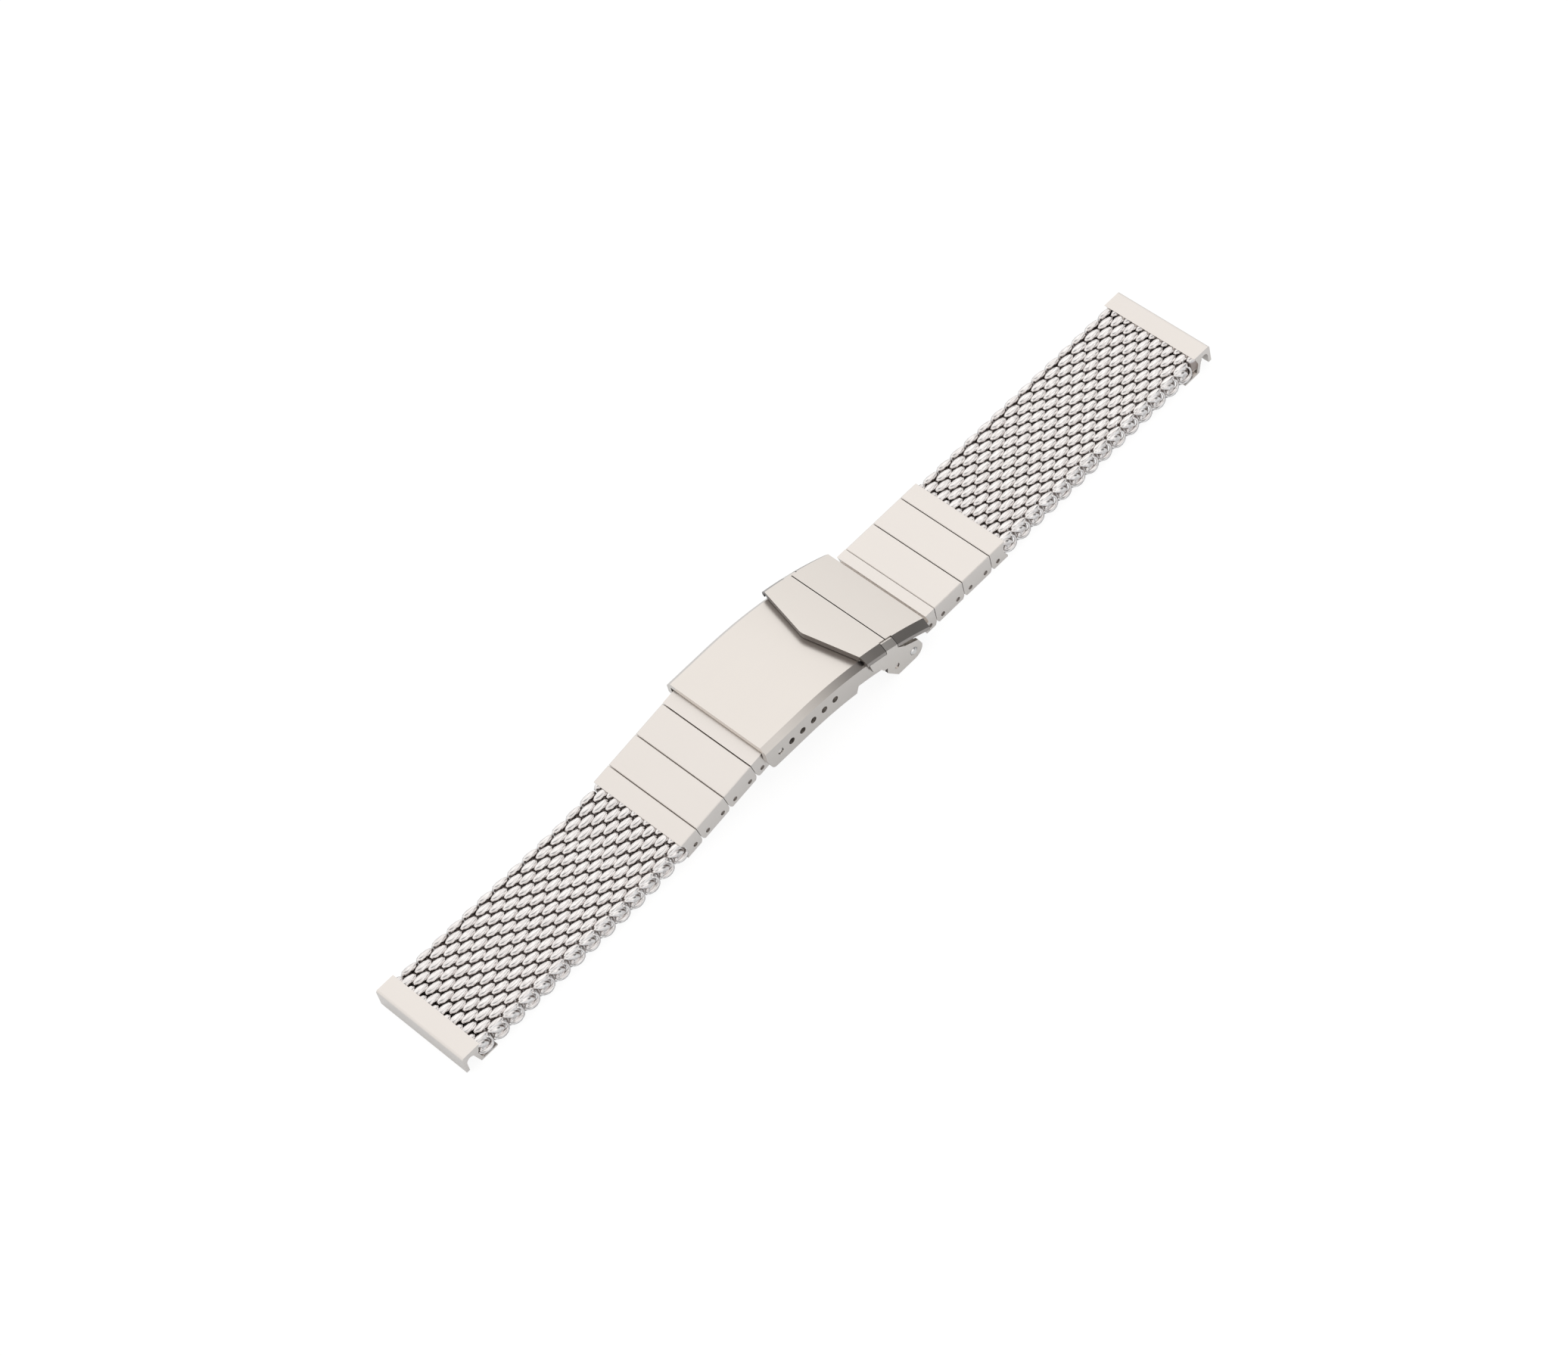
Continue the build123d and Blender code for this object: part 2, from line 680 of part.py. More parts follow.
def lock_plates():
    """Front and rear plates of the lock, with slanted shoulders and short skirts."""
    half = lock_width / 2
    inner = half - ear_thickness
    tab_side = half - lock_tab_inset
    notch_start = lock_split_run - lock_tab_width / 2 - lock_split_gap / 2
    notch_end = lock_split_run + lock_tab_width / 2 + lock_split_gap / 2
    spans = [
        ("lock_front_plate", lock_tip_run, lock_split_run - lock_split_gap / 2),
        ("lock_rear_plate", lock_split_run + lock_split_gap / 2, lock_tail_run),
    ]
    for name, start, finish in spans:
        with BuildPart() as plate:
            with BuildSketch(world_side):
                bend_band(start, finish, skirt_low, plate_high)
            extrude(amount=half, both=True)
            chamfer(rims_at(plate, cover_bend_radius + plate_high), length=lock_shoulder)
            with BuildSketch(world_side):
                bend_band(start - overrun, finish + overrun, skirt_low - overrun, web_high)
            extrude(amount=inner, both=True, mode=Mode.SUBTRACT)
            for low, high in [(-half - overrun, -tab_side), (tab_side, half + overrun)]:
                with BuildSketch(world_side.offset(low)):
                    bend_band(notch_start, notch_end, skirt_low - overrun, plate_high + overrun)
                extrude(amount=high - low, mode=Mode.SUBTRACT)
            if name == "lock_front_plate":
                cut_front(lock_tip_run, lock_corner_run, lock_width)
        save(plate.part, name)


def ear_points(shares):
    """Places of an ear's outline, from shares of its length and height about the lock's hinge."""
    return [(lock_hinge[0] + a * ear_length, lock_hinge[1] + b * ear_height) for a, b in shares]


def lock_frame():
    """Thin bent frame under the plates, with a tab and an ear down each side."""
    half = lock_width / 2
    inner = half - ear_thickness
    tab_side = half - lock_tab_inset
    tab_start = lock_split_run - lock_tab_width / 2
    tab_end = lock_split_run + lock_tab_width / 2
    top_gap = joint_gap / 2
    ear_start = lock_hinge_run - ear_length
    front = ear_points(ear_front_shares)
    back = ear_points(ear_back_shares)
    ear_top = bend_arc(ear_start, tab_end, skirt_low - top_gap)
    lobe_foot = (lock_hinge[0], lock_hinge[1] - ear_radius)
    lobe_side = (lock_hinge[0] + ear_radius, lock_hinge[1])
    heel_point = (lock_hinge[0] + ear_foot_share * ear_length, lobe_foot[1])
    with BuildPart() as tab:
        with BuildSketch(world_side):
            bend_band(tab_start, tab_end, skirt_low - top_gap, plate_high - lock_tab_drop)
        extrude(amount=half, both=True)
        tab_rims = rims_at(tab, cover_bend_radius + plate_high - lock_tab_drop)
        chamfer(tab_rims, length=lock_shoulder - lock_tab_drop)
        with BuildSketch(world_side):
            bend_band(tab_start - overrun, tab_end + overrun, skirt_low - overrun, web_low)
        extrude(amount=inner, both=True, mode=Mode.SUBTRACT)
        with BuildSketch(world_side):
            bend_band(tab_start - overrun, tab_end + overrun, web_high, plate_high + overrun)
        extrude(amount=tab_side, both=True, mode=Mode.SUBTRACT)
    with BuildPart() as frame:
        with BuildSketch(world_side):
            bend_band(lock_tip_run, lock_tail_run, web_low, web_high)
        extrude(amount=half - lock_web_inset - ear_thickness, both=True)
        cut_front(lock_tip_run, lock_corner_run, lock_width)
        add(tab.part)
        for low, high in [(-half, -inner), (inner, half)]:
            with BuildSketch(world_side.offset(low)):
                with BuildLine():
                    ThreePointArc(*ear_top)
                    Polyline(ear_top[2], back[0], back[1], lobe_side)
                    RadiusArc(lobe_side, lobe_foot, ear_radius)
                    Polyline(lobe_foot, heel_point, *front, ear_top[0])
                make_face()
            extrude(amount=high - low)
        cross_hole(world_side, [lock_hinge], lock_rivet_radius + hinge_clearance)
        for low in (-half, half - ear_dent_depth):
            with BuildSketch(world_side.offset(low)):
                with Locations(*ear_points([ear_dent_share])):
                    RegularPolygon(ear_dent_radius, pin_sides)
            extrude(amount=ear_dent_depth, mode=Mode.SUBTRACT)
    save(frame.part, "lock_frame")


def lock_pivots():
    """Two short rivets that carry the lock on the cover's lobes."""
    inside = cover_width / 2 - cover_flange
    outside = lock_width / 2 + lock_rivet_proud
    with BuildPart() as rivets:
        for low in (-outside, inside):
            with BuildSketch(side_plane(lock_hinge).offset(low)):
                RegularPolygon(lock_rivet_radius, knuckle_sides)
            extrude(amount=outside - inside)
        ends = rivets.faces().sort_by(Axis.Y)
        chamfer(list(ends[0].edges()) + list(ends[-1].edges()), length=lock_rivet_proud)
    save(rivets.part, "lock_pivots")


def build_side(side, joint, slope, facing, mouth_end):
    """Links, connectors, mesh link and end piece of one side, outwards from the clasp."""
    frames = [reach(joint, slope, facing, k * link_pitch) for k in range(3)]
    for k in range(3):
        connector(side, k + 1, frames[k], slope, facing)
    for k in range(2):
        full_link(side + "_link_" + str(k + 1), frames[k], slope, facing)
    mesh_link(side + "_mesh_link", frames[2], slope, facing)
    end_piece(side + "_end_piece", mouth_end, facing)


build_side("left", left_joint, -left_slope, -1, (-(left_extent + right_extent) / 2 + end_length, 0))
build_side("right", right_joint, 0, 1, ((left_extent + right_extent) / 2 - end_length, 0))
build_mesh("left")
build_mesh("right")
left_clasp_link("left_clasp_link")
right_clasp_link("right_clasp_link")
spring_bar()
cover()
bottom_blade()
middle_blade()
hinge_pin("blade_pin", blade_hinge, blade_width)
hinge_pin("band_pin", band_hinge, blade_width)
hinge_pin("cover_pin", cover_hinge, cover_width)
lock_plates()
lock_frame()
lock_pivots()
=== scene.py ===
"""Dresses a woven steel watch band: real coils for the mesh, steel finishes and a plain studio."""

import json
import math

import bmesh
import bpy
from mathutils import Matrix, Vector

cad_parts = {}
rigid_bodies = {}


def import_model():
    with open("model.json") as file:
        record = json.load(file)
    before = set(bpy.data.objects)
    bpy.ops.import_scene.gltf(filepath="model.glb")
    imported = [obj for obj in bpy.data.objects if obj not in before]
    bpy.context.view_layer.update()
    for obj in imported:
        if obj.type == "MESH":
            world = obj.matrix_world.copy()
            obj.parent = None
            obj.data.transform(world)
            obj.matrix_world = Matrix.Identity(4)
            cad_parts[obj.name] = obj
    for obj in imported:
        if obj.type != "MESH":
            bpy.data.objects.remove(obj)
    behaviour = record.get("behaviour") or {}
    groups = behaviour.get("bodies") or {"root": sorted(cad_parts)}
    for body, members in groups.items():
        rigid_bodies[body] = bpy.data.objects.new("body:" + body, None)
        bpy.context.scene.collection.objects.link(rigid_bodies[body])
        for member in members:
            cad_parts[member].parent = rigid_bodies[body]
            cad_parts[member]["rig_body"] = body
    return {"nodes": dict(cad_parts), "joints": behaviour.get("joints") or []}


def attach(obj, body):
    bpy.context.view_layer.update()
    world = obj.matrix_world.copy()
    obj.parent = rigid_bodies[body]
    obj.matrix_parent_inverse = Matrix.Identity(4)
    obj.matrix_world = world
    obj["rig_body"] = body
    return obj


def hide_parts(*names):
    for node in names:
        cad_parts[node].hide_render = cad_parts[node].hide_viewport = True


bl_info = {
    "name": "Woven Steel Band",
    "version": (1, 0, 0),
    "blender": (4, 5, 0),
    "location": "View3D > Sidebar > Band",
    "description": "Weaves the band's mesh and gives its steel parts and studio their finish",
    "category": "Object",
}

# Blender's own first objects go before the frame comes in
for leftover in list(bpy.data.objects):
    bpy.data.objects.remove(leftover)
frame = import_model()

MM = 0.001

# Directions in which the brushed scratches run, as scales of the noise along X, Y and Z
BRUSHED_ACROSS = (1.0, 0.06, 0.4)
BRUSHED_ALONG = (0.06, 1.0, 0.4)
BLADE_BRUSHED = (0.05, 1.0, 0.4)
UNBRUSHED = (1.0, 1.0, 1.0)
SCRATCH_SHADE = 0.95  # share of the steel's colour that is left in its scratches
ROUGHNESS_SPREAD = 0.06

# Colours of painted shade and painted dark reflections: on the steel's edges, in a line below each turn's crest and
# in the mesh's gaps
PAINTED_EDGE_SHADE = (0.165, 0.145, 0.135, 1.0)
WIRE_REFLECTION_LINE = (0.42, 0.39, 0.385, 1.0)
WIRE_GAP_SHADE = (0.42, 0.365, 0.34, 1.0)

# Rings of a turn, each as shares of half its height and of half its grain's length, then its
# skew, its width in front and behind in millimetres, and the roundness of its outline
GRAIN_SIDES = 10
GRAIN_LEAN = 0.05  # how far a grain's ends lie aside of its middle
BACK_SKEW = 0.4  # share of a ring's skew behind the grain's middle
WAIST_HEIGHT, WAIST_REACH, WAIST_ROUNDNESS = 0.22, 0.95, 0.6
TURN_RIM = (0.58, 1.03, 0.5, 0.76, 0.68, 0.75)
TURN_SIDE = (0.80, 1.03, 0.42, 0.71, 0.66, 1.05)
TURN_CREST = (0.98, 0.86, 0.2, 0.34, 0.5, 1.3)
TURN_UNDER = (0.58, 0.96, 0.5, 0.72, 0.66, 0.9)

# The same for the turns at the mesh's two edges: waist, rim, side and crest
NEAR_RINGS = (
    (0.22, 0.9, 0.0, 0.3, 0.66, 0.6),
    (0.46, 1.0, 0.4, 0.44, 0.64, 0.8),
    (0.80, 1.0, 0.3, 0.42, 0.64, 1.0),
    (0.98, 0.82, 0.2, 0.24, 0.48, 1.2),
)
FAR_RINGS = (
    (0.22, 0.9, 0.0, 0.3, 0.66, 0.6),
    (0.46, 1.0, 0.4, 0.70, 0.64, 0.8),
    (0.78, 1.0, 0.3, 0.58, 0.62, 1.0),
    (0.98, 0.78, 0.2, 0.24, 0.46, 1.2),
)

# Routes at the band's near side, as (x, y, z, radius) in millimetres from the turn's middle:
# the thick curl, the thin one round it and the wire's cut end
CURL = (
    (-1.7, -0.05, 1.2, 0.2),
    (-1.0, -0.3, 1.08, 0.42),
    (-0.2, -0.42, 0.66, 0.64),
    (0.42, -0.46, 0.1, 0.54),
    (0.78, -0.48, -0.38, 0.32),
    (0.86, -0.45, -0.7, 0.14),
)
OUTER = (
    (0.9, -0.5, 1.3, 0.12),
    (1.4, -0.62, 0.7, 0.2),
    (1.56, -0.7, -0.2, 0.22),
    (1.36, -0.72, -0.98, 0.3),
    (0.5, -0.72, -1.32, 0.42),
    (-0.4, -0.7, -1.2, 0.36),
    (-1.1, -0.66, -0.75, 0.24),
    (-1.4, -0.6, -0.35, 0.12),
)
WIRE_END = ((-0.85, -0.5, -0.02, 0.34), (-0.85, -0.82, -0.02, 0.44), (-0.85, -1.0, -0.02, 0.24))
WIRE_END_CROWN = 0.04
CURL_SIDES, CURL_FLATNESS, CURL_LEAN = 8, 0.8, 0.35
OUTER_SIDES, OUTER_FLATNESS, OUTER_LEAN = 6, 0.9, 0.2
WIRE_END_SIDES = 8
FAR_INSET = 0.22  # how much nearer the thin curl lies to the turn's middle at the far side

# Depth of a point under the mesh's faces, in millimetres, which places a painted dark reflection line and painted
# shade in the gaps
LINE_DEPTH = 0.09
GAP_FROM, GAP_FULL = 0.55, 1.0
NEAR_FACE, FAR_FACE = 1.0, 0.8  # from a turn's middle to the mesh's near or far face
# Depths that points are given for full and half darkness: painted shade in the curl's slot, and a small dark dot at
# the wire's cut end
DARK, HALF_DARK = 1.4, 0.85
SLOT_FROM_RING = 5
SLOT_END_RINGS = 3
SEED_STEP = 11
STREAK_TURN = -0.19  # the streaks' angle to the band, which follows the grains

# Directions out of the object where the studio is dimmer
LOWER_RIGHT = (0.75, -0.64, 0.17)
TOWARDS_VIEWER = (-0.322, -0.507, 0.799)

FLOOR_DROP = 0.00005
FLOOR_SEEN = (0.15, 0.15, 0.15, 1.0)  # the floor's own colour to the camera, under its glow
FLOOR_GLOW, FLOOR_GLOW_SEEN = 0.28, 0.62  # in the steel, and how much more to the camera
KEY_PLACE = (0.35, 0.5, 0.9)
KEY_SIZE = (0.9, 0.6)

# The photograph's view: the camera's axes, and where the origin lies along the first two of them
SENSOR_WIDTH = 36.0
CLIP_START = 0.01
VIEW_RIGHT = (0.68674472, -0.70636847, -0.17153796)
VIEW_DOWN = (-0.6515266, -0.49350847, -0.57616186)
VIEW_AHEAD = (0.32232714, 0.50743765, -0.79913218)
ORIGIN_RIGHT, ORIGIN_DOWN = 0.00421999, -0.00087558


def size_setting(name, description, default, least=0.5):
    """A size in millimetres."""
    return bpy.props.FloatProperty(name=name, description=description, default=default, min=least)


def count_setting(name, description, default):
    """How many of something there are."""
    return bpy.props.IntProperty(name=name, description=description, default=default, min=1)


def length_setting(name, description, default):
    """A length in metres."""
    return bpy.props.FloatProperty(name=name, description=description, default=default, unit="LENGTH")


def angle_setting(name, description, default):
    """An angle in radians, which the panel shows in degrees."""
    return bpy.props.FloatProperty(name=name, description=description, default=default, subtype="ANGLE")


def tint_setting(name, description, default):
    """A colour."""
    return bpy.props.FloatVectorProperty(
        name=name, description=description, default=default, subtype="COLOR", size=3, min=0.0, max=1.0
    )


class WeaveSettings(bpy.types.PropertyGroup):
    """Sizes of the woven mesh, in millimetres unless a name says otherwise."""

    coil_pitch: size_setting("Coil Pitch", "Distance from coil to coil along the band", 1.67)
    turn_pitch: size_setting("Turn Pitch", "Distance from turn to turn across the band", 2.8)
    turns: count_setting("Turns", "Turns of each coil across the band", 7)
    coils_per_group: count_setting("Coils per Group", "Coils that ride on one rigid body", 5)
    left_coils: count_setting("Left Coils", "Coils of the left mesh", 27)
    right_coils: count_setting("Right Coils", "Coils of the right mesh", 28)
    turn_height: size_setting("Turn Height", "Height of a turn", 3.6)
    grain_length: size_setting("Grain Length", "Length of the leaning grain that a turn shows above", 3.14)
    waist: size_setting("Waist", "Width of a turn at half its height", 1.32, 0.2)
    edge_from: size_setting("Edge From", "Distance from the band's middle beyond which turns are edge turns", 8.8)
    slope: angle_setting("Slope", "Slope of the left mesh's first group", math.radians(6.5426))
    twist: angle_setting("Twist", "Most that a turn is twisted from its place, either way", 0.02)


class SteelSettings(bpy.types.PropertyGroup):
    """Colours of the steel."""

    link_tint: tint_setting("Links", "Colour of the links and the end pieces", (0.785, 0.745, 0.71))
    folded_tint: tint_setting("Folded Steel", "Colour of the cover and the lock", (0.77, 0.73, 0.69))
    blade_tint: tint_setting("Blades", "Colour of the clasp's blades", (0.80, 0.78, 0.76))
    pin_tint: tint_setting("Pins", "Colour of the pins between the links", (0.80, 0.79, 0.78))
    turned_tint: tint_setting("Turned Steel", "Colour of the clasp's pins and spring bar", (0.82, 0.81, 0.80))
    wire_tint: tint_setting("Wire", "Colour of the mesh's wire", (0.98, 0.96, 0.95))
    streak_tint: tint_setting("Streaks", "Colour of the streaks along the wire", (0.78, 0.745, 0.735))


class StageSettings(bpy.types.PropertyGroup):
    """The floor, the light and the camera."""

    floor_size: length_setting("Floor Size", "Side of the floor", 6.0)
    floor_tint: tint_setting("Floor Colour", "Colour of the floor that the steel reflects", (0.52, 0.54, 0.56))
    lens: bpy.props.FloatProperty(
        name="Lens", description="Focal length of the camera in millimetres", default=101.17
    )
    camera_distance: length_setting("Camera Distance", "Distance from the origin to the camera plane", 0.7112)
    key_power: bpy.props.FloatProperty(
        name="Key Power", description="Power of the large soft light in watts", default=0.2
    )
    key_tint: tint_setting("Key Colour", "Colour of the large soft light", (1.0, 0.985, 0.965))


class Tree:
    """A short way to add nodes, set their inputs and link them."""

    def __init__(self, tree):
        self.tree = tree

    def node(self, kind, inputs=None, **attributes):
        """Adds a node; each input is given as a value or as another node's output."""
        made = self.tree.nodes.new(kind)
        for key, value in attributes.items():
            setattr(made, key, value)
        for key, value in (inputs or {}).items():
            if isinstance(value, bpy.types.NodeSocket):
                self.link(value, made.inputs[key])
            else:
                made.inputs[key].default_value = value
        return made

    def link(self, start, end):
        self.tree.links.new(start, end)

    def math(self, operation, first, second=0.0, third=0.0):
        return self.node("ShaderNodeMath", {0: first, 1: second, 2: third}, operation=operation).outputs[0]

    def ramp(self, value, start, end, low=0.0, high=1.0, kind="LINEAR"):
        """Carries a value from one range to another, and holds it beyond either end."""
        inputs = {"Value": value, "From Min": start, "From Max": end, "To Min": low, "To Max": high}
        return self.node("ShaderNodeMapRange", inputs, interpolation_type=kind).outputs["Result"]

    def blend(self, factor, first, second):
        """Goes from one colour to another."""
        inputs = {"Factor": factor, "A": first, "B": second}
        return self.node("ShaderNodeMix", inputs, data_type="RGBA").outputs["Result"]

    def noise(self, place, scale, detail, roughness=0.5):
        inputs = {"Vector": place, "Scale": scale, "Detail": detail, "Roughness": roughness}
        return self.node("ShaderNodeTexNoise", inputs).outputs["Fac"]

    def parts(self, vector):
        """The X, Y and Z of a vector."""
        return self.node("ShaderNodeSeparateXYZ", {"Vector": vector}).outputs


def new_material(name):
    """A material with an empty tree, its shader and its output."""
    material = bpy.data.materials.new(name)
    material.use_nodes = True
    material.node_tree.nodes.clear()
    tree = Tree(material.node_tree)
    shader = tree.node("ShaderNodeBsdfPrincipled")
    output = tree.node("ShaderNodeOutputMaterial")
    tree.link(shader.outputs["BSDF"], output.inputs["Surface"])
    return material, tree, shader


def own_place(tree):
    """Where a point lies, in metres."""
    return tree.node("ShaderNodeTexCoord").outputs["Object"]


def own_normal(tree):
    """The X, Y and Z of the surface's direction."""
    return tree.parts(tree.node("ShaderNodeTexCoord").outputs["Normal"])


def metal(tree, shader, colour, rough, height, strength, distance):
    """Sets the shader to steel of a colour, a roughness and a relief."""
    relief = {"Strength": strength, "Distance": distance, "Height": height}
    tree.link(colour, shader.inputs["Base Color"])
    tree.link(rough, shader.inputs["Roughness"])
    tree.link(tree.node("ShaderNodeBump", relief).outputs["Normal"], shader.inputs["Normal"])
    shader.inputs["Metallic"].default_value = 1.0


def satin_steel(name, tint, roughness, brushing, strength, edges=None):
    """Fine brushed steel: short scratches over a soft unevenness, with painted shade and painted dark reflections
    on the edges where they are asked for.
    """
    material, tree, shader = new_material(name)
    place = own_place(tree)
    along = tree.node("ShaderNodeMapping", {"Vector": place, "Scale": brushing}).outputs["Vector"]
    scratches = tree.noise(along, scale=900.0, detail=3.0, roughness=0.6)
    soft = tree.noise(place, scale=140.0, detail=2.0)
    tone = tree.ramp(scratches, 0.3, 0.7, low=0.94, high=1.03)
    colour = tree.blend(tone, (*[c * SCRATCH_SHADE for c in tint], 1.0), (*tint, 1.0))
    # Painted shade and painted dark reflections where the given mask asks for them
    if edges:
        colour = tree.blend(edges(tree), colour, PAINTED_EDGE_SHADE)
    rough = tree.math("MULTIPLY_ADD", soft, ROUGHNESS_SPREAD, roughness - ROUGHNESS_SPREAD / 2)
    metal(tree, shader, colour, rough, scratches, strength, distance=0.00002)
    return material


def leading_edge_shade(tree):
    """Painted dark reflection on the edges where a piece faces the band's left end."""
    return tree.ramp(own_normal(tree)["X"], -0.3, -0.5)


def plate_edge_shade(tree):
    """Painted dark reflection on the polished shoulders along a plate's sides, and on its edges that face the
    band's left end.
    """
    aside = tree.math("ABSOLUTE", own_normal(tree)["Y"])
    return tree.math("MAXIMUM", tree.ramp(aside, 0.25, 0.5, high=0.62), leading_edge_shade(tree))


def pin_end_shade(tree):
    """Painted shade on the end faces of the pins that lie across the band."""
    across = tree.math("ABSOLUTE", own_normal(tree)["Y"])
    return tree.ramp(across, 0.5, 0.9, high=0.8)


def cover_shoulder_shade(tree):
    """Painted dark reflection on the cover's long near shoulder, darker towards the lock, over painted shade that
    makes its side a little darker too.
    """
    parts = own_normal(tree)
    slant = tree.ramp(parts["Y"], -0.35, -0.6)
    top = tree.ramp(parts["Z"], 0.2, 0.4)
    run = tree.ramp(tree.parts(own_place(tree))["X"], -0.016, 0.007, low=0.06, high=0.75)
    side = tree.ramp(parts["Y"], -0.9, -0.97, high=0.08)
    return tree.math("MAXIMUM", tree.math("MULTIPLY", tree.math("MULTIPLY", slant, top), run), side)


def woven_steel(name, steel):
    """Polished wire with fine streaks drawn along each turn, a painted dark reflection line below each crest and
    painted shade in the gaps between the turns.
    """
    material, tree, shader = new_material(name)
    drawn = {"Vector": own_place(tree), "Rotation": (0, 0, STREAK_TURN), "Scale": (0.16, 1.0, 0.3)}
    along = tree.node("ShaderNodeMapping", drawn).outputs["Vector"]
    streaks = tree.noise(along, scale=5200.0, detail=2.0, roughness=0.55)
    tone = tree.ramp(streaks, 0.36, 0.6)
    colour = tree.blend(tone, (*steel.streak_tint, 1.0), (*steel.wire_tint, 1.0))
    depth = tree.node("ShaderNodeAttribute", attribute_name="depth").outputs["Fac"]
    # A thin painted dark reflection line runs round each turn just below its crest
    from_line = tree.math("ABSOLUTE", tree.math("SUBTRACT", depth, LINE_DEPTH))
    colour = tree.blend(tree.ramp(from_line, 0.02, 0.05, low=0.3, high=0.0), colour, WIRE_REFLECTION_LINE)
    # Painted shade deepens in the gaps between the turns as a point lies deeper
    colour = tree.blend(tree.ramp(depth, GAP_FROM, GAP_FULL, kind="SMOOTHSTEP"), colour, WIRE_GAP_SHADE)
    rough = tree.math("MULTIPLY_ADD", streaks, -0.12, 0.29)
    metal(tree, shader, colour, rough, streaks, strength=0.25, distance=0.00003)
    return material


def power(value, exponent):
    """A power that keeps its sign."""
    return math.copysign(abs(value) ** exponent, value)


def shell_object(name, points, faces, depths):
    """A smooth mesh object from points in millimetres, its faces turned outwards, that keeps each point's depth."""
    form = bmesh.new()
    corners = [form.verts.new(Vector(p) * MM) for p in points]
    for face in faces:
        form.faces.new([corners[i] for i in face])
    bmesh.ops.recalc_face_normals(form, faces=form.faces)
    data = bpy.data.meshes.new(name)
    form.to_mesh(data)
    form.free()
    kept = data.attributes.new("depth", "FLOAT", "POINT")
    kept.data.foreach_set("value", depths)
    for polygon in data.polygons:
        polygon.use_smooth = True
    return bpy.data.objects.new(name, data)


def stack(rings, bottom, top, start):
    """Points and faces of rings closed by a point at either end, for points that are numbered from start."""
    around = len(rings[0])
    points = [p for ring in rings for p in ring] + [bottom, top]
    faces = []
    for level in range(len(rings) - 1):
        for k in range(around):
            n = (k + 1) % around
            low, high = start + level * around, start + (level + 1) * around
            faces.append((low + k, low + n, high + n, high + k))
    last = start + (len(rings) - 1) * around
    for k in range(around):
        n = (k + 1) % around
        faces.append((start + n, start + k, start + len(points) - 2))
        faces.append((last + k, last + n, start + len(points) - 1))
    return points, faces


def gather(shells):
    """Joins several (rings, end points) shells into one set of points and faces."""
    points, faces = [], []
    for rings, (first, last) in shells:
        more, shell = stack(rings, first, last, len(points))
        points, faces = points + more, faces + shell
    return points, faces


def grain_ring(weave, height, reach, skew, front, back, roundness, side):
    """One closed ring of a turn: a leaning outline at a share of its height, above or below the waist."""
    ring = []
    for k in range(GRAIN_SIDES):
        angle = side * 2 * math.pi * (k + 0.5) / GRAIN_SIDES
        c, s = power(math.cos(angle), roundness), power(math.sin(angle), roundness)
        wide, lean = (front, skew) if s > 0 else (back, BACK_SKEW * skew)
        x = weave.grain_length / 2 * reach * c + lean * s
        y = -GRAIN_LEAN * c - wide * s
        ring.append((x, side * y, side * height * weave.turn_height / 2))
    return ring


def grain(weave, lower, upper):
    """The shell of a turn from its rings below and above the waist, from the bottom up."""
    top = weave.turn_height / 2
    rings = [grain_ring(weave, *ring, -1) for ring in lower]
    rings += [grain_ring(weave, *ring, 1) for ring in upper]
    return rings, ((0, 0, -top), (0, 0, top))


def turn_template(weave, name):
    """One inner turn: a leaning grain above, a plainer one below, and a waist that closes the weave."""
    top = weave.turn_height / 2
    half = weave.waist / 2
    waist = (WAIST_HEIGHT, WAIST_REACH, 0.0, half, half, WAIST_ROUNDNESS)
    upper = (waist, TURN_RIM, TURN_SIDE, TURN_CREST)
    points, faces = gather([grain(weave, (TURN_CREST, TURN_UNDER, waist), upper)])
    return shell_object(name, points, faces, [top - abs(p[2]) for p in points])


def strand(route, sides, flatness=1.0, lean=0.0):
    """Rings of a strand along a smooth route of (x, y, z, radius), flatter or leaning out across the band."""
    knots = [Vector(knot) for knot in route]
    knots = [2 * knots[0] - knots[1]] + knots + [2 * knots[-1] - knots[-2]]
    stops = []
    for k in range(1, len(knots) - 2):
        before, this, after, beyond = knots[k - 1:k + 3]
        # Halfway along a smooth curve through the four knots
        stops += [this, (9 * (this + after) - before - beyond) / 16]
    stops.append(knots[-2])
    rings = []
    for k, stop in enumerate(stops):
        run = stops[min(k + 1, len(stops) - 1)] - stops[max(k - 1, 0)]
        out = Vector((-run.z, 0, run.x)).normalized()
        ring = []
        for m in range(sides):
            angle = 2 * math.pi * m / sides
            spot = stop.xyz + out * (math.cos(angle) * stop.w)
            spot.y += math.sin(angle) * stop.w * flatness + lean * (spot.z - stop.z)
            ring.append(tuple(spot))
        rings.append(ring)
    return rings, (tuple(stops[0].xyz), tuple(stops[-1].xyz))


def wire_end():
    """The shell of the wire's round cut end, which faces the band's near side with a small crown."""
    x, _, z, _ = WIRE_END[0]
    angles = [2 * math.pi * k / WIRE_END_SIDES for k in range(WIRE_END_SIDES)]
    rings = [[(x + r * math.cos(a), y, z + r * math.sin(a)) for a in angles] for _, y, _, r in WIRE_END]
    return rings, ((x, WIRE_END[0][1], z), (x, WIRE_END[-1][1] - WIRE_END_CROWN, z))


